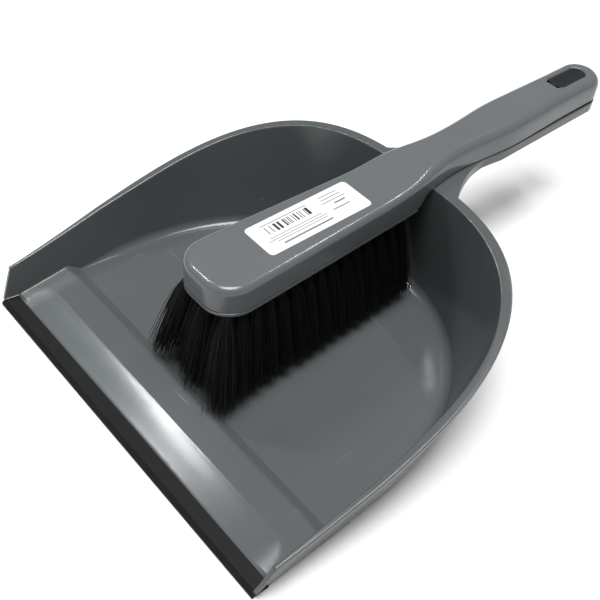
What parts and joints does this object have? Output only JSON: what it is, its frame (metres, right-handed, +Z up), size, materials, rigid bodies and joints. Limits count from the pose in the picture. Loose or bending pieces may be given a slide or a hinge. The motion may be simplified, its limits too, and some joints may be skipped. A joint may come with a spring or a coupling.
{
  "type": "dust pan and brush set",
  "caption": "D-shaped dust pan with a ramp, rubber lip strip and channel handle, holding a hand brush that lifts off.",
  "frame": {"origin": "under the middle of the set, on the surface that the tray stands on", "axes": "+Y from the lip towards the handles' end, +Z up, +X to the right seen from the lip"},
  "size_m": [0.2322, 0.345, 0.086],
  "materials": {
    "pan_plastic": "semi-gloss moulded polypropylene",
    "lip_rubber": "matt extruded rubber",
    "brush_plastic": "satin moulded polypropylene",
    "label_paper": "smooth printed paper",
    "bristles": "drawn black filament",
    "staple_wire": "plain drawn wire"
  },
  "bodies": {
    "pan": {"dust_pan": "pan_plastic", "lip_strip": "lip_rubber"},
    "brush": {"brush_body": "brush_plastic", "label": "label_paper", "tuft_row_1": "bristles", "tuft_row_2": "bristles", "tuft_row_3": "bristles", "tuft_row_4": "bristles", "tuft_row_5": "bristles", "tuft_staples": "staple_wire"}
  },
  "joints": [
    {"name": "brush_lift", "type": "slide", "parent": "pan", "child": "brush", "axis": [0, 0, 1], "range_m": [0, 0.12]}
  ]
}
